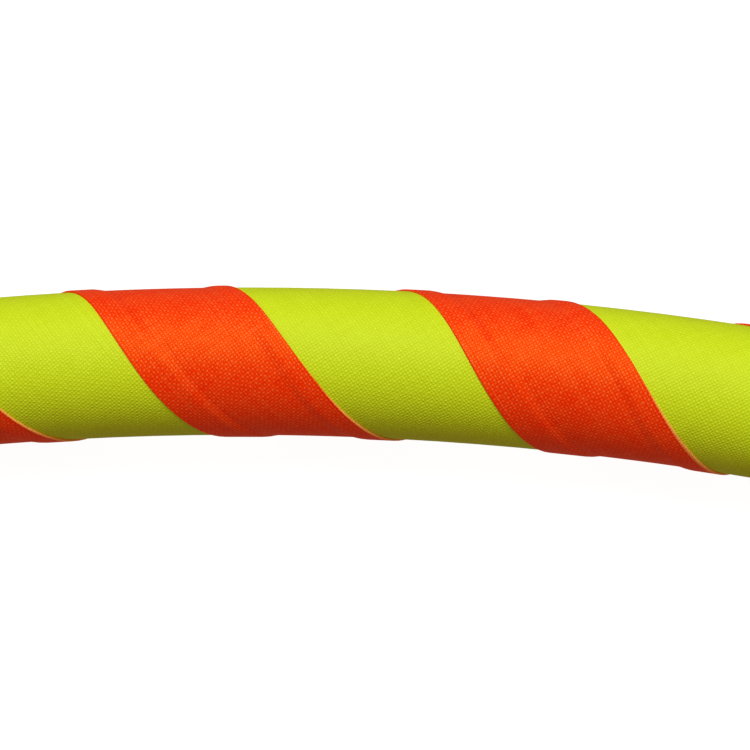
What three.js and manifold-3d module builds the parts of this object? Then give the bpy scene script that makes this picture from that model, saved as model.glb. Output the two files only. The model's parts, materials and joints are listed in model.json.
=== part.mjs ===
// A taped travel hoop, 0.9 m across, that comes apart into five curved sections.
// Each section is a plastic pipe wound with two cloth tapes: a wide yellow one first, with a gap
// between its turns, and a narrower orange one over the gap, lapping both edges of the yellow.
// An insert riveted into each section's end plugs into the next section, where a sprung button holds it.
// Millimetres, +Z up. The hoop lies flat on Z = 0, centred on the Z axis.

import * as THREE from "three";
import { mergeVertices } from "three/addons/utils/BufferGeometryUtils.js";
import Module from "manifold-3d";

const wasm = await Module();
wasm.setup();

const degrees = Math.PI / 180;

// ---- Driving dimensions ----
// Round parts have flat sides, and their radii are to the flats. Around the pipe, angles start on
// the side away from the hoop's centre and go over the top.
const ring_radius = 440; // to the pipe's centre line
const section_count = 5;
const turns_per_section = 12; // of each tape
const facets = 12; // sides of a pipe, insert or wound tape, with one flat on the floor
const joint_gap = 0.3; // between the end faces of two sections
const pipe = { outer: 9.6, bore: 8, steps: 24 };
const orange_start = 123.6 * degrees; // where the orange tape's middle is at a section's start
const yellow_tape = { width: 25, inner: 9.98, outer: 10.13, start: orange_start + Math.PI };
const orange_tape = { width: 19, inner: 10.38, outer: 10.55, start: orange_start };
const narrowest_tape = 1; // where the slanted end of a tape stops

// The joint's pieces. Distances along the pipe are from the joint, and the others from its centre line.
const insert = { outer: 7.4, bore: 6, reach: 25, inward: 0.36 };
const pin_distance = 12.5; // of the button on one side of the joint, and of the rivet on the other
const button = { radius: 2.8, tip: 12, dome: 1.3, flange_radius: 3.6, flange_low: 3.3, flange_high: 4.2 };
const rivet = { radius: 1.5, tail_radius: 2.4, tail_low: 3.9, tail_high: 5.2 };
const rivet_head = { radius: 3.2, low: 10.4, high: 11.5 };
const pin_clearance = 0.3; // between a pin and its hole
const pin_sides = 12;
const clip = { thickness: 0.5, width: 4.6, lower: -5.7, upper: 2.7, end: 17, shoulder: 8 };
const clip_bend = { radius: 1.4, middle: -5, turn: 144 * degrees, steps: 4 };

// ---- Worked out from them ----
const section_angle = (2 * Math.PI) / section_count;
const face_angle = joint_gap / 2 / ring_radius; // from the joint to a section's end face
const turn_ratio = section_count * turns_per_section; // a tape's turns for one turn round the hoop
const pitch = (2 * Math.PI * ring_radius) / turn_ratio;
const centre_height = orange_tape.outer;
const facet_angle = (2 * Math.PI) / facets;
const corner = 1 / Math.cos(facet_angle / 2); // a corner's distance for each unit of a flat's

// ---- Materials ----
const black_plastic = { color: 0x17181a, roughness: 0.55, metalness: 0 };
const grey_plastic = { color: 0x2a2c2f, roughness: 0.55, metalness: 0 };
const plated_steel = { color: 0xb8babd, roughness: 0.35, metalness: 1 };
const spring_steel = { color: 0x8f9296, roughness: 0.35, metalness: 1 };
const aluminium = { color: 0xc9cbcd, roughness: 0.45, metalness: 1 };
const yellow_cloth = { color: 0xd2e62a, roughness: 0.8, metalness: 0 };
const orange_cloth = { color: 0xf8571a, roughness: 0.8, metalness: 0 };

// ---- Helpers ----
function toSolid(geometry) {
  const plain = geometry.clone();
  plain.deleteAttribute("normal");
  plain.deleteAttribute("uv");
  const merged = mergeVertices(plain);
  const vertProperties = new Float32Array(merged.attributes.position.array);
  const triVerts = new Uint32Array(merged.index.array);
  return new wasm.Manifold(new wasm.Mesh({ numProp: 3, vertProperties, triVerts }));
}

function cut(geometry, tools) {
  const solid = tools.reduce((left, tool) => left.subtract(toSolid(tool)), toSolid(geometry));
  const mesh = solid.getMesh();
  const result = new THREE.BufferGeometry();
  result.setAttribute("position", new THREE.BufferAttribute(new Float32Array(mesh.vertProperties), 3));
  result.setIndex(new THREE.BufferAttribute(new Uint32Array(mesh.triVerts), 1));
  return result;
}

// A polygon whose flats lie across the axes, at a distance from its centre.
function polygon(distance) {
  const points = [];
  for (let i = 0; i < facets; i++) {
    const angle = (i + 0.5) * facet_angle;
    points.push(new THREE.Vector2(Math.cos(angle), Math.sin(angle)).multiplyScalar(distance * corner));
  }
  return points;
}

function tubeShape({ outer, bore }) {
  const shape = new THREE.Shape(polygon(outer));
  shape.holes.push(new THREE.Path(polygon(bore)));
  return shape;
}

// A section's centre line. A section starts on the +X side and runs anticlockwise.
class SectionArc extends THREE.Curve {
  angle(t) {
    return face_angle + t * (section_angle - 2 * face_angle);
  }
  getPoint(t, target = new THREE.Vector3()) {
    const angle = this.angle(t);
    return target.set(ring_radius * Math.cos(angle), ring_radius * Math.sin(angle), centre_height);
  }
  getTangent(t, target = new THREE.Vector3()) {
    const angle = this.angle(t);
    return target.set(-Math.sin(angle), Math.cos(angle), 0);
  }
}

// Moves a geometry from a joint's own frame to the section's. A joint's frame starts on the centre
// line at the joint, with X away from the hoop's centre, Y along the pipe and Z up.
function atJoint(geometry, joint_angle) {
  return geometry.translate(ring_radius, 0, centre_height).rotateZ(joint_angle);
}

// A turned pin that stands along X at y, from pairs of a radius and a distance from the centre line.
function turnedPin(profile, y) {
  const points = profile.map(([radius, distance]) => new THREE.Vector2(radius, distance));
  return new THREE.LatheGeometry(points, pin_sides).rotateZ(-Math.PI / 2).translate(0, y, 0);
}

// The hole for a pin through the outer wall of whatever lies between the centre line and its tip.
function pinHole(pin, y, joint_angle) {
  const radius = pin.radius + pin_clearance;
  const hole = new THREE.CylinderGeometry(radius, radius, 2 * button.tip, pin_sides);
  return atJoint(hole.rotateZ(-Math.PI / 2).translate(button.tip, y, 0), joint_angle);
}

// A section has the next one's button through its start, and its own rivet through its end.
function sectionHoles() {
  return [pinHole(button, pin_distance, 0), pinHole(rivet, -pin_distance, section_angle)];
}

// ---- The pieces of one section ----
function pipeGeometry() {
  const extrudePath = new SectionArc();
  const tube = new THREE.ExtrudeGeometry(tubeShape(pipe), { steps: pipe.steps, extrudePath });
  return cut(tube, sectionHoles());
}

// A straight tube across the joint at the section's end. It sits a little towards the hoop's centre,
// halfway between where the curved bore is at the joint and where it is at the tube's tips.
function insertGeometry() {
  const tube = new THREE.ExtrudeGeometry(tubeShape(insert), { depth: 2 * insert.reach, bevelEnabled: false });
  tube.rotateX(-Math.PI / 2).translate(-insert.inward, -insert.reach, 0);
  const button_hole = pinHole(button, pin_distance, section_angle);
  const rivet_hole = pinHole(rivet, -pin_distance, section_angle);
  return cut(atJoint(tube, section_angle), [button_hole, rivet_hole]);
}

function rivetGeometry() {
  const shoulder_radius = rivet_head.radius * 0.8;
  const shoulder_height = THREE.MathUtils.lerp(rivet_head.low, rivet_head.high, 0.7);
  const profile = [
    [0, rivet.tail_low],
    [rivet.tail_radius, rivet.tail_low],
    [rivet.tail_radius, rivet.tail_high],
    [rivet.radius, rivet.tail_high],
    [rivet.radius, rivet_head.low],
    [rivet_head.radius, rivet_head.low],
    [shoulder_radius, shoulder_height],
    [0, rivet_head.high],
  ];
  return atJoint(turnedPin(profile, -pin_distance), section_angle);
}

// A round pin with a domed tip, and a flange under the insert's wall that keeps it in.
function buttonGeometry() {
  const shoulder_radius = button.radius * 0.7;
  const shoulder_height = button.tip - button.dome / 4;
  const profile = [
    [0, button.flange_low],
    [button.flange_radius, button.flange_low],
    [button.flange_radius, button.flange_high],
    [button.radius, button.flange_high],
    [button.radius, button.tip - button.dome],
    [shoulder_radius, shoulder_height],
    [0, button.tip],
  ];
  return atJoint(turnedPin(profile, pin_distance), section_angle);
}

// A bent steel strip: one leg on the insert's far wall, a bend, and a leg that levels out at the
// shoulder under the button.
function clipGeometry() {
  const line = [new THREE.Vector2(clip.lower, clip.end)];
  const bend_middle = new THREE.Vector2(clip.lower + clip_bend.radius, clip_bend.middle);
  for (let i = 0; i <= clip_bend.steps; i++) {
    const angle = Math.PI + (clip_bend.turn * i) / clip_bend.steps;
    const spoke = new THREE.Vector2(Math.cos(angle), Math.sin(angle));
    line.push(spoke.multiplyScalar(clip_bend.radius).add(bend_middle));
  }
  line.push(new THREE.Vector2(clip.upper, clip.shoulder), new THREE.Vector2(clip.upper, clip.end));
  const side = (offset) => line.map((point, i) => {
    const before = line[Math.max(i - 1, 0)];
    const after = line[Math.min(i + 1, line.length - 1)];
    const along = after.clone().sub(before).normalize();
    return new THREE.Vector2(-along.y, along.x).multiplyScalar(offset).add(point);
  });
  const outline = [...side(clip.thickness / 2), ...side(-clip.thickness / 2).reverse()];
  const options = { depth: clip.width, bevelEnabled: false };
  const strip = new THREE.ExtrudeGeometry(new THREE.Shape(outline), options);
  return atJoint(strip.translate(0, 0, -clip.width / 2), section_angle);
}

// A strip wound round the pipe as a right-handed helix and cut flush with the section's ends. It is
// a long thin box whose cross-sections are moved to the corners of the pipe's polygon, turn by turn.
function tapeGeometry(tape) {
  const circumference = 2 * Math.PI * tape.outer;
  const width_along_pipe = (tape.width * Math.hypot(circumference, pitch)) / circumference;
  const rows = [];
  for (let i = -2 * facets; i < (turns_per_section + 1) * facets; i++) {
    const around = -(i + 0.5) * facet_angle;
    const middle = (tape.start - around) / turn_ratio;
    const half_width = width_along_pipe / 2 / (ring_radius + tape.outer * Math.cos(around));
    const low = Math.max(middle - half_width, face_angle);
    const high = Math.min(middle + half_width, section_angle - face_angle);
    if ((high - low) * ring_radius > narrowest_tape) {
      rows.push({ around, low, high });
    }
  }
  const last_row = rows.length - 1;
  const strip = new THREE.BoxGeometry(1, 1, 1, last_row, 1, 1);
  const position = strip.attributes.position;
  for (let i = 0; i < position.count; i++) {
    const { around, low, high } = rows[Math.round((position.getX(i) + 0.5) * last_row)];
    const angle = position.getY(i) > 0 ? high : low;
    const distance = (position.getZ(i) > 0 ? tape.outer : tape.inner) * corner;
    const from_axis = ring_radius + distance * Math.cos(around);
    const height = centre_height + distance * Math.sin(around);
    position.setXYZ(i, from_axis * Math.cos(angle), from_axis * Math.sin(angle), height);
  }
  return cut(strip, sectionHoles());
}

// ---- The hoop ----
const pieces = {
  pipe: { geometry: pipeGeometry(), finish: black_plastic },
  insert: { geometry: insertGeometry(), finish: grey_plastic },
  rivet: { geometry: rivetGeometry(), finish: aluminium },
  button: { geometry: buttonGeometry(), finish: plated_steel },
  spring_clip: { geometry: clipGeometry(), finish: spring_steel },
  yellow_tape: { geometry: tapeGeometry(yellow_tape), finish: yellow_cloth },
  orange_tape: { geometry: tapeGeometry(orange_tape), finish: orange_cloth },
};

const hoop = new THREE.Group();
for (let k = 0; k < section_count; k++) {
  const section = new THREE.Group();
  section.rotation.z = Math.PI / 2 + (k - 0.5) * section_angle; // the first is centred on +Y
  for (const [name, { geometry, finish }] of Object.entries(pieces)) {
    const mesh = new THREE.Mesh(geometry, new THREE.MeshStandardMaterial(finish));
    mesh.name = `${name}_${k + 1}`;
    section.add(mesh);
  }
  hoop.add(section);
}

export default hoop;
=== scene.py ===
"""A taped travel hoop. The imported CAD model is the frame, and every piece here is a finer one in its
place. Metres, +Z up: the hoop lies flat on Z = 0 with its centre on the Z axis."""
import json
import math

import bmesh
import bpy
import numpy as np
from mathutils import Matrix, Vector


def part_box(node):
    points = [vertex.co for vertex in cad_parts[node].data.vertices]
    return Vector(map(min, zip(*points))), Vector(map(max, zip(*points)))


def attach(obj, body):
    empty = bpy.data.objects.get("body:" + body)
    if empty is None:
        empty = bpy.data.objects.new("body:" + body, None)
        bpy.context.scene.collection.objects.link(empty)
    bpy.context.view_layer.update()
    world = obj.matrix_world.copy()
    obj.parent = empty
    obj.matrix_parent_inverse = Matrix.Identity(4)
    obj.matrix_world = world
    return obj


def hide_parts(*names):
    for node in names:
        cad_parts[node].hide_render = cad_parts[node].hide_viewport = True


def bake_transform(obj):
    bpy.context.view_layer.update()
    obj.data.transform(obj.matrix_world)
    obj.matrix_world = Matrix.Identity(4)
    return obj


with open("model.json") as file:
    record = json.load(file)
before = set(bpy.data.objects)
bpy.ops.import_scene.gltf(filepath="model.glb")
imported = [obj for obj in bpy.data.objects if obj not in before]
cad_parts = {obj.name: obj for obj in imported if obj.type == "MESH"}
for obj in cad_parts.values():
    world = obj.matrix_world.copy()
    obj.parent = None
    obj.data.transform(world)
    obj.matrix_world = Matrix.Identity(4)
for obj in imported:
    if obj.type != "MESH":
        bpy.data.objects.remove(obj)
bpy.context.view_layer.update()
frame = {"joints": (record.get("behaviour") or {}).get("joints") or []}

MM = 0.001
DEGREE = math.pi / 180

# ---- Sizes, which are the CAD model's driving dimensions ----
# Around the pipe, angles start on the side away from the hoop's centre and go over the top.
RING_RADIUS = 440 * MM
SECTIONS = 5
TURN_RATIO = 60  # a tape's turns round the pipe for one turn round the hoop
JOINT_GAP = 0.3 * MM
ORANGE_START = 123.6 * DEGREE  # where the orange tape's middle is round the pipe at a section's start
PIN_DISTANCE = 12.5 * MM  # from a joint to its button one way, and to its rivet the other way
SECTION_ANGLE = 2 * math.pi / SECTIONS
FACE_ANGLE = JOINT_GAP / 2 / RING_RADIUS
PITCH = 2 * math.pi * RING_RADIUS / TURN_RATIO
CENTRE_HEIGHT = (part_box("orange_tape_1")[0].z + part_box("orange_tape_1")[1].z) / 2

# ---- Sizes of the finer pieces ----
PIPE_RADIUS = 10 * MM
PIPE_BORE = 8 * MM
TAPE_THICKNESS = 0.25 * MM
TAPE_GLUE = 0.03 * MM
TAPE_OVERRUN = 4 * DEGREE  # how far a tape is wound past its section at each end, before it is cut
YELLOW_RADIUS = PIPE_RADIUS + TAPE_GLUE + TAPE_THICKNESS / 2
ORANGE_RADIUS = YELLOW_RADIUS + TAPE_GLUE + TAPE_THICKNESS
YELLOW_WIDTH = 25 * MM
ORANGE_WIDTH = 19 * MM
STEP_RAMP = 2 * MM  # how far the orange tape takes to come down off the yellow one's edge
STEP_OVER = 0.6 * MM  # how much of that is over the yellow tape
EDGE_PRESSED = 0.25  # how much thinner the yellow tape is at its edges, under the orange one
EDGE_WORN = 0.4  # how much thinner the orange tape's very edges are
EDGE_STRIP = 0.15 * MM  # how wide its worn strip is
ORANGE_CROWD = 0.38 * MM  # how much wider a tape is on the hoop's inner side, and narrower on the
YELLOW_CROWD = 0.17 * MM  # outer side, at each edge
DRIFT = 0.25 * MM  # how far the winding strays from an even helix, along the pipe
DRIFT_WAVE = 0.34 * MM
YELLOW_OFFSET = -0.8 * MM  # how far the yellow tape's gaps are from the orange tape's middle
STEPS_PER_TURN = 64
BUTTON_HOLE = 3.1 * MM
RIVET_HOLE = 1.8 * MM

TAPE_CIRCUMFERENCE = 2 * math.pi * (PIPE_RADIUS + TAPE_THICKNESS)
LENGTH_PER_TURN = math.hypot(TAPE_CIRCUMFERENCE, PITCH)


def section_start(k):
    """The ring angle where section k starts, from the axis of the button at its other end."""
    joint = next(j for j in frame["joints"] if j["name"] == f"button_press_{k}")
    return math.atan2(-joint["axis"][1], -joint["axis"][0]) - SECTION_ANGLE


# ---- Mesh helpers ----
def new_object(name, vertices, faces, uvs=None):
    mesh = bpy.data.meshes.new(name)
    mesh.from_pydata([tuple(v) for v in vertices], [], faces)
    if uvs is not None:
        layer = mesh.uv_layers.new(name="UVMap")
        loops = np.empty(len(mesh.loops), np.int32)
        mesh.loops.foreach_get("vertex_index", loops)
        layer.data.foreach_set("uv", np.asarray(uvs, np.float32)[loops].ravel())
    obj = bpy.data.objects.new(name, mesh)
    bpy.context.scene.collection.objects.link(obj)
    return obj


def grid_faces(rows, columns, first=0, closed=False, flip=False):
    """Quads over a grid of rows x columns vertices, numbered along the rows."""
    faces = []
    for i in range(rows - 1):
        for j in range(columns if closed else columns - 1):
            a = first + i * columns + j
            b = first + i * columns + (j + 1) % columns
            quad = (a, b, b + columns, a + columns)
            faces.append(quad[::-1] if flip else quad)
    return faces


def smooth(obj, sharp_from=35 * DEGREE):
    obj.data.shade_smooth()
    obj.data.set_sharp_from_angle(angle=sharp_from)


def trim(obj, angle, keep_sign):
    """Cuts obj with the upright plane through the hoop's axis at a ring angle, and closes the cut."""
    normal = Vector((-math.sin(angle), math.cos(angle), 0)) * -keep_sign
    bm = bmesh.new()
    bm.from_mesh(obj.data)
    everything = bm.verts[:] + bm.edges[:] + bm.faces[:]
    bmesh.ops.bisect_plane(bm, geom=everything, plane_co=(0, 0, 0), plane_no=normal, clear_outer=True)
    open_edges = [e for e in bm.edges if len(e.link_faces) == 1]
    bmesh.ops.holes_fill(bm, edges=open_edges, sides=0)
    bm.to_mesh(obj.data)
    bm.free()


def carve(obj, cutters):
    """Subtracts the cutters from obj and removes them."""
    for cutter in cutters:
        modifier = obj.modifiers.new("hole", "BOOLEAN")
        modifier.operation = "DIFFERENCE"
        modifier.solver = "EXACT"
        modifier.object = cutter
    depsgraph = bpy.context.evaluated_depsgraph_get()
    mesh = bpy.data.meshes.new_from_object(obj.evaluated_get(depsgraph))
    obj.modifiers.clear()
    obj.data = mesh
    for cutter in cutters:
        bpy.data.objects.remove(cutter)


def ring_points(angles, arounds, distances):
    """Points beside the pipe's centre line, from arrays of ring angles, angles round the pipe and
    distances from the centre line."""
    from_axis = RING_RADIUS + distances * np.cos(arounds)
    height = CENTRE_HEIGHT + distances * np.sin(arounds)
    return np.stack([from_axis * np.cos(angles), from_axis * np.sin(angles), height], axis=-1)


def joint_matrix(angle):
    """From a joint's own frame, X away from the hoop's centre, Y along the pipe and Z up."""
    return Matrix.Rotation(angle, 4, "Z") @ Matrix.Translation((RING_RADIUS, 0, CENTRE_HEIGHT))


def turned(name, profile, matrix, sides=48):
    """A turned piece that stands along the joint frame's X, from (radius, distance) pairs."""
    vertices = [(profile[0][1], 0, 0)]
    for radius, distance in profile[1:-1]:
        for i in range(sides):
            angle = 2 * math.pi * i / sides
            vertices.append((distance, radius * math.cos(angle), radius * math.sin(angle)))
    vertices.append((profile[-1][1], 0, 0))
    rings = len(profile) - 2
    faces = [(0, 1 + (i + 1) % sides, 1 + i) for i in range(sides)]
    faces += grid_faces(rings, sides, first=1, closed=True)
    last = len(vertices) - 1
    base = 1 + (rings - 1) * sides
    faces += [(last, base + i, base + (i + 1) % sides) for i in range(sides)]
    obj = new_object(name, vertices, faces)
    obj.data.transform(matrix)
    smooth(obj)
    return obj


def pin_hole(radius, y, angle, low=6 * MM, high=15 * MM):
    """A cutter for a pin's hole through the outer wall, y along the pipe from the joint at angle."""
    profile = [(0, low), (radius, low), (radius, high), (0, high)]
    matrix = joint_matrix(angle) @ Matrix.Translation((0, y, 0))
    return turned("hole", profile, matrix, sides=40)


def section_holes():
    """Cutters for a section that starts at angle 0: for the button of the section before it, near its
    start, and for its own rivet, near its end."""
    button_hole = pin_hole(BUTTON_HOLE, PIN_DISTANCE, 0)
    rivet_hole = pin_hole(RIVET_HOLE, -PIN_DISTANCE, SECTION_ANGLE)
    return [button_hole, rivet_hole]


# ---- Tapes ----
def tape(name, start, width, edges, heights, start_angle):
    """A strip wound round one section. edges gives the columns' distances along the pipe from the
    tape's middle, and heights the inner surface's distance from the centre line and the thickness."""
    slant = math.atan2(TAPE_CIRCUMFERENCE, PITCH)
    first = start + TURN_RATIO * TAPE_OVERRUN
    turns = (SECTION_ANGLE + 2 * TAPE_OVERRUN) * TURN_RATIO / (2 * math.pi)
    rows = round(turns * STEPS_PER_TURN) + 1
    index = np.arange(rows)[:, None]
    around = first - index * 2 * math.pi / STEPS_PER_TURN
    middle = (start - around) / TURN_RATIO
    radius_here = RING_RADIUS + PIPE_RADIUS * np.cos(around)
    across = edges(around, radius_here, index)
    angle = middle + (across + drift(around)) / radius_here
    inner, thickness = heights(across, around, radius_here)
    columns = across.shape[1]
    around_all = np.broadcast_to(around, across.shape)
    low = ring_points(angle, around_all, inner)
    high = ring_points(angle, around_all, inner + thickness)
    along = index * LENGTH_PER_TURN / STEPS_PER_TURN + across * math.cos(slant)
    uv = np.stack([along, across * math.sin(slant) + width / 2], axis=-1).reshape(-1, 2)
    count = rows * columns
    faces = grid_faces(rows, columns, flip=True)
    faces += grid_faces(rows, columns, first=count)
    for i in range(rows - 1):
        a, b = i * columns, (i + 1) * columns
        faces.append((a, a + count, b + count, b))
        a, b = a + columns - 1, b + columns - 1
        faces.append((a, b, b + count, a + count))
    last = (rows - 1) * columns
    for j in range(columns - 1):
        faces.append((j, j + 1, j + 1 + count, j + count))
        faces.append((last + j, last + j + count, last + j + 1 + count, last + j + 1))
    vertices = np.concatenate([low.reshape(-1, 3), high.reshape(-1, 3)])
    obj = new_object(name, vertices, faces, np.concatenate([uv, uv]))
    trim(obj, FACE_ANGLE, 1)
    trim(obj, SECTION_ANGLE - FACE_ANGLE, -1)
    carve(obj, section_holes())
    obj.data.transform(Matrix.Rotation(start_angle, 4, "Z"))
    smooth(obj)
    return obj


def along_pipe(width, radius):
    """A tape's width measured along the pipe."""
    circumference = 2 * math.pi * radius
    return width * math.hypot(circumference, PITCH) / circumference


def drift(around):
    """How far the hand-wound tapes stray from an even helix, along the pipe."""
    return -(DRIFT + DRIFT_WAVE * np.cos(2 * around))


def edge_waver(index, k, side):
    """How far a hand-wound tape's edge strays, in a few waves of (waves per turn, millimetres)."""
    turn = index * 2 * math.pi / STEPS_PER_TURN
    phase = side + 1.3 * k - 0.4
    waves = [(0.25, 0.2), (0.83, 0.04), (2.9, 0.02), (7.3, 0.012)]
    return sum(size * MM * np.sin(rate * turn + phase) for rate, size in waves)


def yellow_half(around):
    return along_pipe(YELLOW_WIDTH, YELLOW_RADIUS) / 2 - YELLOW_CROWD * np.cos(around)


def yellow_tape(k, start_angle):
    spread = np.array([-1, -0.99, -0.975, -0.96, -0.7, -0.35, 0, 0.35, 0.7, 0.96, 0.975, 0.99, 1])

    def edges(around, radius_here, index):
        return YELLOW_OFFSET + yellow_half(around) * spread[None, :]

    def heights(across, around, radius_here):
        from_edge = yellow_half(around) - np.abs(across - YELLOW_OFFSET)
        pressed = np.clip(1 - from_edge / STEP_OVER, 0, 1) * EDGE_PRESSED
        return np.full(across.shape, PIPE_RADIUS + TAPE_GLUE), TAPE_THICKNESS * (1 - pressed)

    start = ORANGE_START + math.pi
    return tape(f"yellow_cloth_{k}", start, YELLOW_WIDTH, edges, heights, start_angle)


def orange_tape(k, start_angle):
    half = along_pipe(ORANGE_WIDTH, ORANGE_RADIUS) / 2
    ramp = np.linspace(-0.1, 1.1, 9)

    def gap(around, radius_here, side):
        """From the orange tape's middle to the yellow one's edge."""
        return radius_here * math.pi / TURN_RATIO - yellow_half(around) + side * YELLOW_OFFSET

    def edges(around, radius_here, index):
        own = half - ORANGE_CROWD * np.cos(around)
        columns = [np.zeros_like(own)]
        for side in (-1, 1):
            edge = own + edge_waver(index, k, side)
            bare = gap(around, radius_here, side)
            stops = [bare * 0.4] + [bare + STEP_OVER - STEP_RAMP * (1 - r) for r in ramp]
            stops += [edge - EDGE_STRIP, edge]
            columns = columns + stops if side > 0 else [-stop for stop in reversed(stops)] + columns
        return np.concatenate(columns, axis=1)

    def heights(across, around, radius_here):
        bare = np.where(across > 0, gap(around, radius_here, 1), gap(around, radius_here, -1))
        t = np.clip((np.abs(across) - bare - STEP_OVER) / STEP_RAMP + 1, 0, 1)
        lift = t * t * (3 - 2 * t)
        worn = np.zeros_like(across)
        worn[:, [0, -1]] = EDGE_WORN
        inner = PIPE_RADIUS + TAPE_GLUE + (TAPE_THICKNESS + TAPE_GLUE) * lift
        return inner, TAPE_THICKNESS * (1 - worn)

    return tape(f"orange_cloth_{k}", ORANGE_START, ORANGE_WIDTH, edges, heights, start_angle)


# ---- The pieces of a joint ----
def pipe(k, start_angle):
    """One section's pipe, with its ends chamfered outside and in."""
    steps, sides, chamfer = 72, 48, 0.4 * MM
    stations = [(FACE_ANGLE, chamfer)]
    stations += [(FACE_ANGLE + chamfer / RING_RADIUS, 0)]
    stations += [(SECTION_ANGLE * i / steps, 0) for i in range(1, steps)]
    stations += [(SECTION_ANGLE - FACE_ANGLE - chamfer / RING_RADIUS, 0)]
    stations += [(SECTION_ANGLE - FACE_ANGLE, chamfer)]
    arounds = np.arange(sides) * 2 * math.pi / sides
    rings = []
    for angle, cut in stations:
        rings.append(ring_points(np.full(sides, angle), arounds, np.full(sides, PIPE_RADIUS - cut)))
    for angle, cut in reversed(stations):
        rings.append(ring_points(np.full(sides, angle), arounds, np.full(sides, PIPE_BORE + cut)))
    count = len(rings)
    vertices = np.concatenate(rings)
    faces = grid_faces(count, sides, closed=True)
    last = (count - 1) * sides
    faces += [(last + j, last + (j + 1) % sides, (j + 1) % sides, j) for j in range(sides)]
    obj = new_object(f"pipe_wall_{k}", vertices, faces)
    carve(obj, section_holes())
    obj.data.transform(Matrix.Rotation(start_angle, 4, "Z"))
    smooth(obj)
    return obj


def insert(k, end_angle):
    """A straight tube across the joint, set towards the hoop's centre to suit the curved bore."""
    outer, bore, reach, inward, chamfer = 7.5 * MM, 6 * MM, 25 * MM, 0.36 * MM, 0.6 * MM
    sides, inner_chamfer = 48, chamfer / 2
    outline = [(outer - chamfer, -reach), (outer, -reach + chamfer), (outer, -reach / 3)]
    outline += [(outer, reach / 3), (outer, reach - chamfer), (outer - chamfer, reach)]
    outline += [(bore + inner_chamfer, reach), (bore, reach - inner_chamfer), (bore, 0)]
    outline += [(bore, -reach + inner_chamfer), (bore + inner_chamfer, -reach)]
    vertices = []
    for radius, y in outline:
        for i in range(sides):
            angle = 2 * math.pi * i / sides
            vertices.append((radius * math.cos(angle) - inward, y, radius * math.sin(angle)))
    faces = grid_faces(len(outline), sides, closed=True, flip=True)
    last = (len(outline) - 1) * sides
    faces += [(j, (j + 1) % sides, last + (j + 1) % sides, last + j) for j in range(sides)]
    obj = new_object(f"insert_tube_{k}", vertices, faces)
    obj.data.transform(joint_matrix(end_angle))
    button_hole = pin_hole(BUTTON_HOLE, PIN_DISTANCE, end_angle, low=3 * MM)
    rivet_hole = pin_hole(RIVET_HOLE, -PIN_DISTANCE, end_angle, low=3 * MM)
    carve(obj, [button_hole, rivet_hole])
    smooth(obj)
    return obj


def button(k, end_angle):
    """A flange that the clip pushes on, a shaft and a dome, from (radius, distance) in millimetres."""
    flange = [(0, 3.3), (3.4, 3.3), (3.6, 3.45), (3.6, 4.1), (3.45, 4.2), (2.95, 4.2)]
    shaft = [(2.8, 4.4), (2.8, 7.6)]
    dome = [(2.8, 10.9), (2.72, 11.3), (2.45, 11.6), (1.95, 11.83), (1.2, 11.96), (0.4, 12), (0, 12)]
    profile = [(r * MM, d * MM) for r, d in flange + shaft + dome]
    matrix = joint_matrix(end_angle) @ Matrix.Translation((0, PIN_DISTANCE, 0))
    return turned(f"button_pin_{k}", profile, matrix)


def rivet(k, end_angle):
    """A rolled tail, a shaft and a domed head with a dimple, from (radius, distance) in millimetres."""
    tail = [(0, 3.9), (1.6, 3.95), (2.2, 4.2), (2.4, 4.6), (2.3, 5), (1.9, 5.2)]
    shaft = [(1.5, 5.25), (1.5, 10.2)]
    head = [(3.05, 10.3), (3.2, 10.42), (3.12, 10.72), (2.75, 11.1), (2.1, 11.38), (1.35, 11.5)]
    dimple = [(1.1, 11.48), (1, 11.3), (0.95, 11), (0.85, 10.96), (0.75, 11.08), (0.4, 11.14)]
    profile = [(r * MM, d * MM) for r, d in tail + shaft + head + dimple + [(0, 11.15)]]
    matrix = joint_matrix(end_angle) @ Matrix.Translation((0, -PIN_DISTANCE, 0))
    return turned(f"rivet_body_{k}", profile, matrix)


def spring_clip(k, end_angle):
    """A strip bent to a V: a leg along the insert's inner side, a round bend, and a rise to the flat
    under the button. In millimetres: lower and upper are the legs' distances from the pipe's centre
    line, and end, shoulder and bend_middle are places along it."""
    lower, upper, end, shoulder, bend, bend_middle = -5.7, 2.7, 17, 8, 1.4, -5
    thickness, width, turn, steps = 0.5, 4.6, 144 * DEGREE, 12
    line = [(lower, end), (lower, end / 2)]
    for i in range(steps + 1):
        angle = math.pi + turn * i / steps
        line.append((lower + bend * (1 + math.cos(angle)), bend_middle + bend * math.sin(angle)))
    rise_from = Vector(line[-1])
    rise_to = Vector((upper - 0.9, shoulder - 1.3))
    line += [tuple(rise_from.lerp(rise_to, i / 8)) for i in range(1, 8)]
    line += [tuple(rise_to), (upper - 0.3, shoulder - 0.4), (upper - 0.05, shoulder + 0.5)]
    line += [(upper, shoulder + 1.5), (upper, end)]
    vertices = []
    soft = 0.12
    section = [(-1, -1 + soft), (-1 + soft / 4, -1), (1 - soft / 4, -1), (1, -1 + soft)]
    section += [(1, 1 - soft), (1 - soft / 4, 1), (-1 + soft / 4, 1), (-1, 1 - soft)]
    for i, point in enumerate(line):
        before, after = Vector(line[max(i - 1, 0)]), Vector(line[min(i + 1, len(line) - 1)])
        along = (after - before).normalized()
        side = Vector((-along.y, along.x))
        for z, t in section:
            at = Vector(point) + side * (t * thickness / 2)
            vertices.append(Vector((at.x, at.y, z * width / 2)) * MM)
    count = len(section)
    faces = grid_faces(len(line), count, closed=True)
    faces.append(tuple(range(count))[::-1])
    last = (len(line) - 1) * count
    faces.append(tuple(range(last, last + count)))
    obj = new_object(f"clip_strip_{k}", vertices, faces)
    obj.data.transform(joint_matrix(end_angle))
    smooth(obj, 30 * DEGREE)
    return obj


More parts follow.
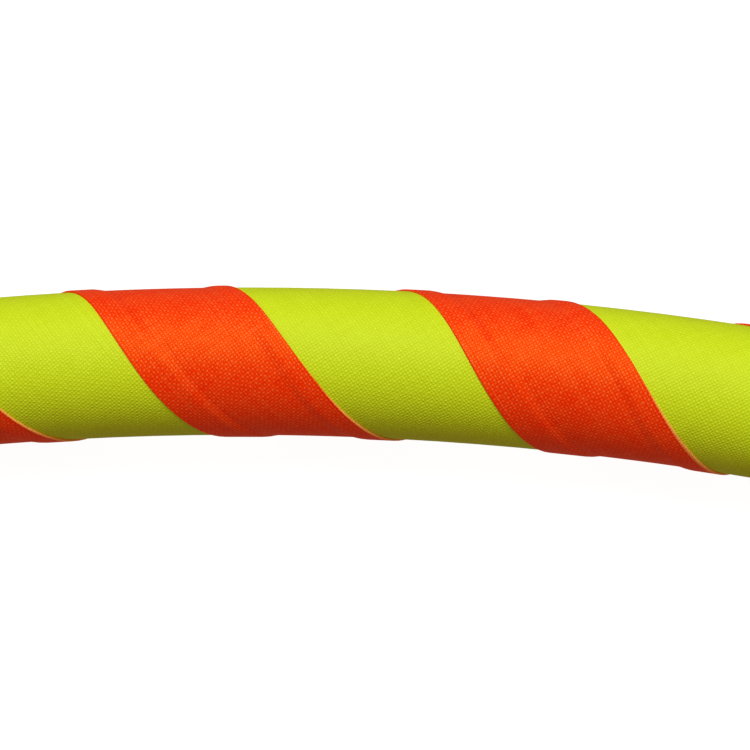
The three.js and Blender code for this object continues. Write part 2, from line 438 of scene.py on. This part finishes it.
# ---- Materials ----
class Nodes:
    """A short way to write node materials."""

    def __init__(self, name):
        self.material = bpy.data.materials.new(name)
        self.material.use_nodes = True
        self.tree = self.material.node_tree
        self.shader = self.tree.nodes["Principled BSDF"]

    def add(self, kind, **inputs):
        node = self.tree.nodes.new(kind)
        for key, value in inputs.items():
            if key in node.bl_rna.properties:
                setattr(node, key, value)
            else:
                self.set(node.inputs[key.replace("_", " ")], value)
        return node

    def set(self, socket, value):
        if isinstance(value, bpy.types.NodeSocket):
            self.tree.links.new(value, socket)
        else:
            socket.default_value = value

    def math(self, operation, a, b=None, c=None):
        node = self.tree.nodes.new("ShaderNodeMath")
        node.operation = operation
        for socket, value in zip(node.inputs, (a, b, c)):
            if value is not None:
                self.set(socket, value)
        return node.outputs[0]

    def mix(self, factor, a, b):
        node = self.tree.nodes.new("ShaderNodeMix")
        node.data_type = "RGBA"
        for key, value in (("Factor_Float", factor), ("A_Color", a), ("B_Color", b)):
            socket = next(s for s in node.inputs if s.identifier == key)
            self.set(socket, value)
        return next(s for s in node.outputs if s.identifier == "Result_Color")

    def ramp(self, value, low, high):
        """value mapped from low..high to 0..1 and clamped."""
        node = self.add("ShaderNodeMapRange", clamp=True)
        self.set(node.inputs["Value"], value)
        node.inputs["From Min"].default_value = low
        node.inputs["From Max"].default_value = high
        return node.outputs[0]

    def noise(self, vector, scale, detail=2.0, roughness=0.5):
        node = self.add("ShaderNodeTexNoise", Scale=scale, Detail=detail, Roughness=roughness)
        self.set(node.inputs["Vector"], vector)
        return node.outputs["Fac"]

    def bump(self, height, distance=1.0, strength=1.0):
        node = self.add("ShaderNodeBump", Height=height, Distance=distance, Strength=strength)
        self.set(self.shader.inputs["Normal"], node.outputs[0])


THREAD = 0.425 * MM
LOW_CROWN = 0.55  # the crowns of the threads along a tape, beside the higher ones across it
WANDER = 0.8  # how far a thread strays, in threads
TORN_EDGE = 0.065 * MM
TORN_RAGGED = 0.1 * MM
CROWN_RELIEF = 0.07 * MM


def cloth(name, colour, valley_shade, crown_wear_and_highlight, edge, relief, gloss, gloss_tint, red_glow):
    """Coated cloth tape in a plain weave: colour on its threads, a darker painted shade between them
    where the weave's hollows would be shadowed, a paler colour on their crowns that is partly wear and
    partly a painted highlight, and edge where it was torn. UV is in metres, along and across the tape.
    The red emission is a painted glow, standing in for the red light that the fluorescent pigment gives
    off."""
    n = Nodes(name)
    uv = n.add("ShaderNodeUVMap", uv_map="UVMap").outputs[0]
    split = n.add("ShaderNodeSeparateXYZ", Vector=uv)
    along, across = split.outputs[0], split.outputs[1]
    place = n.add("ShaderNodeTexCoord").outputs["Object"]
    wander_u = n.math("MULTIPLY", n.math("SUBTRACT", n.noise(place, 1100, 2), 0.5), WANDER)
    wander_v = n.math("MULTIPLY", n.math("SUBTRACT", n.noise(place, 1370, 2), 0.5), WANDER)
    u = n.math("ADD", n.math("DIVIDE", along, THREAD), wander_u)
    v = n.math("ADD", n.math("DIVIDE", across, THREAD), wander_v)
    wave_u = n.math("SINE", n.math("MULTIPLY", u, math.pi))
    wave_v = n.math("SINE", n.math("MULTIPLY", v, math.pi))
    checks = n.math("MULTIPLY", wave_u, wave_v)
    high_crown = n.math("MAXIMUM", checks, 0.0)
    low_crown = n.math("MAXIMUM", n.math("MULTIPLY", checks, -LOW_CROWN), 0.0)
    weave = n.math("POWER", n.math("ADD", high_crown, low_crown), 0.8)
    stretch_u = n.add("ShaderNodeCombineXYZ", X=n.math("MULTIPLY", u, 0.04), Y=v).outputs[0]
    stretch_v = n.add("ShaderNodeCombineXYZ", X=u, Y=n.math("MULTIPLY", v, 0.08)).outputs[0]
    slub = n.math("ADD", n.noise(stretch_u, 0.9, 1), n.noise(stretch_v, 0.9, 1))
    slub = n.math("SUBTRACT", slub, 1.0)
    blotch = n.math("SUBTRACT", n.noise(place, 330, 3, 0.6), 0.5)
    grit = n.math("SUBTRACT", n.noise(place, 3200, 1), 0.5)
    slow_u, other_v = n.math("MULTIPLY", u, 0.02), n.math("ADD", v, 37.0)
    long_thread = n.add("ShaderNodeCombineXYZ", X=slow_u, Y=other_v).outputs[0]
    streak = n.ramp(n.noise(long_thread, 0.9, 1), 0.62, 0.76)
    uneven = n.math("ADD", n.math("MULTIPLY", slub, 0.5), n.math("MULTIPLY", blotch, 0.3))
    uneven = n.math("ADD", uneven, n.math("MULTIPLY", grit, 0.5))
    uneven = n.math("ADD", uneven, n.math("MULTIPLY", streak, 0.22))
    # The colour between the threads is painted shade, darker where the weave's hollows would be
    # shadowed, mixed with random unevenness.
    tone = n.mix(n.ramp(n.math("ADD", n.math("MULTIPLY", weave, 0.6), uneven), -0.2, 0.3), valley_shade, colour)
    # The paler colour on the thread crowns is partly wear and partly a painted highlight where the
    # crowns would catch the light.
    tone = n.mix(n.ramp(n.math("ADD", weave, uneven), 0.42, 1.0), tone, crown_wear_and_highlight)
    ragged = n.math("MULTIPLY", n.noise(place, 2500, 2), TORN_RAGGED)
    torn = n.math("LESS_THAN", across, n.math("ADD", ragged, TORN_EDGE))
    tone = n.mix(torn, tone, edge)
    n.set(n.shader.inputs["Base Color"], tone)
    n.shader.inputs["Roughness"].default_value = 0.5
    n.shader.inputs["Specular IOR Level"].default_value = gloss
    n.shader.inputs["Specular Tint"].default_value = gloss_tint
    # A faint red emission: a painted glow that stands in for the pigment's fluorescence and lifts the
    # red of the shaded side.
    n.shader.inputs["Emission Color"].default_value = (1, 0, 0, 1)
    n.shader.inputs["Emission Strength"].default_value = red_glow
    height = n.math("MULTIPLY", weave, CROWN_RELIEF)
    height = n.math("ADD", height, n.math("MULTIPLY", slub, 0.02 * MM))
    height = n.math("ADD", height, n.math("MULTIPLY", blotch, 0.05 * MM))
    height = n.math("ADD", height, n.math("MULTIPLY", grit, 0.01 * MM))
    n.bump(height, strength=relief)
    return n.material


def plastic(name, colour, worn):
    """Extruded polyethylene: satin, with fine scratches along it and scuffs."""
    n = Nodes(name)
    place = n.add("ShaderNodeTexCoord").outputs["Object"]
    grain = n.noise(place, 700, 4, 0.6)
    scuff = n.ramp(n.noise(place, 90, 5, 0.7), 0.55, 0.75)
    n.set(n.shader.inputs["Base Color"], n.mix(n.math("MULTIPLY", scuff, 0.5), colour, worn))
    n.set(n.shader.inputs["Roughness"], n.math("ADD", 0.38, n.math("MULTIPLY", grain, 0.25)))
    n.bump(n.math("ADD", n.math("MULTIPLY", grain, 0.02 * MM), n.math("MULTIPLY", scuff, 0.02 * MM)))
    return n.material


def metal(name, colour, dull, roughness, grain_size):
    """Satin metal with fine grain and slight tarnish."""
    n = Nodes(name)
    place = n.add("ShaderNodeTexCoord").outputs["Object"]
    grain = n.noise(place, 3000, 3, 0.6)
    tarnish = n.ramp(n.noise(place, 400, 4, 0.65), 0.45, 0.7)
    n.set(n.shader.inputs["Base Color"], n.mix(tarnish, colour, dull))
    n.shader.inputs["Metallic"].default_value = 1.0
    n.set(n.shader.inputs["Roughness"], n.math("ADD", roughness, n.math("MULTIPLY", grain, 0.18)))
    n.bump(n.math("MULTIPLY", grain, grain_size))
    return n.material


# In the cloths, the darker colour between the threads is painted shade, the paler crown colour is
# partly wear and partly a painted highlight, and the orange's red emission is a painted glow.
materials = {
    "yellow_tape": cloth(
        "fluorescent_yellow_cloth", colour=(0.67, 0.81, 0.018, 1), valley_shade=(0.62, 0.745, 0.011, 1),
        crown_wear_and_highlight=(0.74, 0.89, 0.035, 1), edge=(0.75, 0.8, 0.2, 1), relief=0.8, gloss=0.2,
        gloss_tint=(1, 1, 1, 1), red_glow=0.0),
    "orange_tape": cloth(
        "fluorescent_orange_cloth", colour=(0.96, 0.056, 0.001, 1), valley_shade=(0.9, 0.012, 0.001, 1),
        crown_wear_and_highlight=(1, 0.16, 0.055, 1), edge=(1, 0.46, 0.11, 1), relief=0.7, gloss=0.55,
        gloss_tint=(1, 0.95, 0.1, 1), red_glow=0.04),
    "pipe": plastic("black_polyethylene", (0.022, 0.023, 0.025, 1), (0.06, 0.06, 0.062, 1)),
    "insert": plastic("grey_polyethylene", (0.05, 0.052, 0.056, 1), (0.12, 0.12, 0.125, 1)),
    "rivet": metal("aluminium_rivet", (0.8, 0.8, 0.81, 1), (0.6, 0.6, 0.61, 1), 0.3, 0.006 * MM),
    "button": metal("plated_button", (0.75, 0.74, 0.72, 1), (0.55, 0.53, 0.5, 1), 0.2, 0.003 * MM),
    "spring_clip": metal("spring_steel", (0.45, 0.45, 0.47, 1), (0.3, 0.29, 0.28, 1), 0.3, 0.006 * MM),
}


# ---- The hoop ----
def finish_piece(obj, kind, k):
    obj.data.materials.clear()
    obj.data.materials.append(materials[kind])
    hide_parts(f"{kind}_{k}")


def place_piece(obj, kind, k, body):
    finish_piece(obj, kind, k)
    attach(obj, body)


for k in range(1, SECTIONS + 1):
    start_angle = section_start(k)
    end_angle = start_angle + SECTION_ANGLE
    section = f"section_{k}"
    yellow = yellow_tape(k, start_angle)
    orange = orange_tape(k, start_angle)
    place_piece(yellow, "yellow_tape", k, section)
    place_piece(orange, "orange_tape", k, section)
    place_piece(pipe(k, start_angle), "pipe", k, section)
    place_piece(insert(k, end_angle), "insert", k, section)
    place_piece(rivet(k, end_angle), "rivet", k, section)
    clip = spring_clip(k, end_angle)
    finish_piece(clip, "spring_clip", k)
    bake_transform(clip)
    place_piece(button(k, end_angle), "button", k, f"button_{k}")

# ---- Floor, light and camera ----
FLOOR_REACH = 40
floor_corners = [(-FLOOR_REACH, -FLOOR_REACH, 0), (FLOOR_REACH, -FLOOR_REACH, 0)]
floor_corners += [(FLOOR_REACH, FLOOR_REACH, 0), (-FLOOR_REACH, FLOOR_REACH, 0)]
floor = new_object("floor", floor_corners, [(0, 1, 2, 3)])
white = Nodes("white_table")
white.shader.inputs["Base Color"].default_value = (0.15, 0.15, 0.15, 1)
white.shader.inputs["Roughness"].default_value = 0.9
white.shader.inputs["Emission Color"].default_value = (1, 1, 1, 1)
white.shader.inputs["Emission Strength"].default_value = 0.8
floor.data.materials.append(white.material)
floor.visible_diffuse = False
floor.visible_glossy = False

# The world lights the hoop with a warm fill, and the camera sees it as white paper.
world = bpy.data.worlds.new("studio")
bpy.context.scene.world = world
world.use_nodes = True
fill = world.node_tree.nodes["Background"]
fill.inputs["Color"].default_value = (0.255, 0.19, 0.16, 1)
backdrop = world.node_tree.nodes.new("ShaderNodeBackground")
backdrop.inputs["Color"].default_value = (1, 1, 1, 1)
seen = world.node_tree.nodes.new("ShaderNodeLightPath").outputs["Is Camera Ray"]
either = world.node_tree.nodes.new("ShaderNodeMixShader")
for source, socket in ((seen, 0), (fill.outputs[0], 1), (backdrop.outputs[0], 2)):
    world.node_tree.links.new(source, either.inputs[socket])
world.node_tree.links.new(either.outputs[0], world.node_tree.nodes["World Output"].inputs["Surface"])

KEY_TILT = 34 * DEGREE
key = bpy.data.objects.new("key", bpy.data.lights.new("key", "SUN"))
key.data.energy = 2.2
key.data.color = (0.85, 0.94, 0.98)
key.data.angle = 35 * DEGREE
key.rotation_euler = (-KEY_TILT, 0, 0)
bpy.context.scene.collection.objects.link(key)

VIEW_DISTANCE = 280 * MM
VIEW_WIDTH = 104.24 * MM  # what the frame's width takes in at that distance
VIEW_PAN = 0.055  # the camera stands to the right of the target by this angle, in radians
VIEW_ROLL = -0.0046
VIEW_TARGET = Vector((16.47 * MM, RING_RADIUS - 1.85 * MM, CENTRE_HEIGHT))
SENSOR = 36
direction = Vector((math.sin(VIEW_PAN), 0, math.cos(VIEW_PAN)))
right = Vector((0, 1, 0)).cross(direction).normalized()
up = direction.cross(right)
turned_right = right * math.cos(VIEW_ROLL) - up * math.sin(VIEW_ROLL)
turned_up = right * math.sin(VIEW_ROLL) + up * math.cos(VIEW_ROLL)
camera = bpy.data.objects.new("camera", bpy.data.cameras.new("camera"))
camera.data.sensor_width = SENSOR
camera.data.lens = SENSOR * VIEW_DISTANCE / VIEW_WIDTH
camera.data.clip_start = 0.005
camera.matrix_world = Matrix.Translation(VIEW_TARGET + direction * VIEW_DISTANCE) @ Matrix(
    (turned_right, turned_up, direction)).transposed().to_4x4()
bpy.context.scene.collection.objects.link(camera)
bpy.context.scene.camera = camera
bpy.context.scene.view_settings.view_transform = "Standard"
bpy.context.scene.view_settings.look = "Medium High Contrast"
